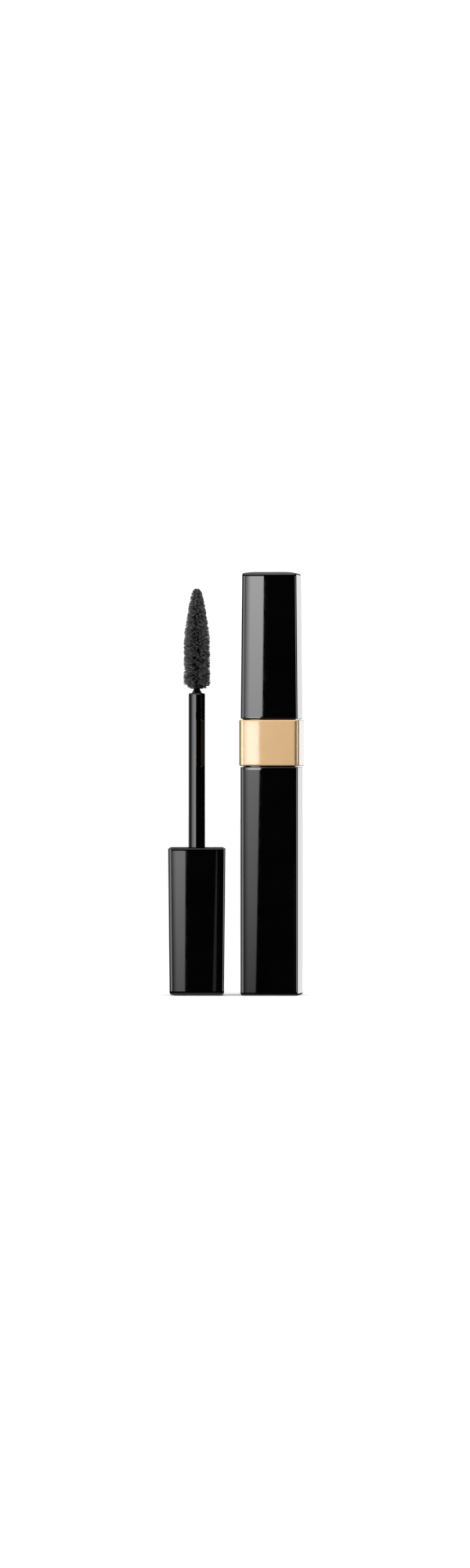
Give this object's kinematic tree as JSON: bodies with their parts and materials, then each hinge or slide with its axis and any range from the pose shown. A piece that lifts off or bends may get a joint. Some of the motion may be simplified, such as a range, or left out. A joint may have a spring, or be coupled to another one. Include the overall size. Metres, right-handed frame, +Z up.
{
  "type": "mascara tube",
  "caption": "Square mascara: black case with a gold band, a screw cap that carries the wand and brush, and a loose applicator standing beside it.",
  "frame": {"origin": "centre of the closed tube's base, on the surface it stands on", "axes": "+Z up along the closed tube's axis, +X to its right, -Y to its front; the loose applicator stands on the -X side"},
  "size_m": [0.0381, 0.0194, 0.119],
  "materials": {
    "case_black": "high-gloss black",
    "cap_black": "high-gloss black",
    "stem_black": "gloss black",
    "moulded_black": "semi-matt moulded black",
    "gold": "satin gold anodised",
    "wiper": "soft matt",
    "seal": "closed-cell foam",
    "wire": "drawn wire",
    "bristle": "black nylon fibre",
    "label": "blank matt label"
  },
  "bodies": {
    "tube": {"tube_case": "case_black", "base_label": "label", "inner_bottle": "moulded_black", "shoulder_insert": "moulded_black", "gold_band": "gold", "wiper": "wiper"},
    "lifter": {"seal_ring": "seal"},
    "applicator": {"cap_shell": "cap_black", "cap_insert": "moulded_black", "stem": "stem_black", "brush_core": "wire", "bristles": "bristle"},
    "loose_applicator": {"loose_seal_ring": "seal", "loose_cap_shell": "cap_black", "loose_cap_insert": "moulded_black", "loose_stem": "stem_black", "loose_brush_core": "wire", "loose_bristles": "bristle"}
  },
  "joints": [
    {"name": "applicator_lift", "type": "slide", "parent": "tube", "child": "lifter", "axis": [0, 0, 1], "range_m": [0, 0.088], "deforming": ["bristles"]},
    {"name": "cap_twist", "type": "hinge", "parent": "lifter", "child": "applicator", "pos_m": [0, 0, 0.0777], "axis": [0, 0, 1], "range_deg": [0, 450]},
    {"name": "loose_applicator_lift", "type": "slide", "parent": "tube", "child": "loose_applicator", "axis": [0, 0, 1], "range_m": [0, 0.12]}
  ]
}
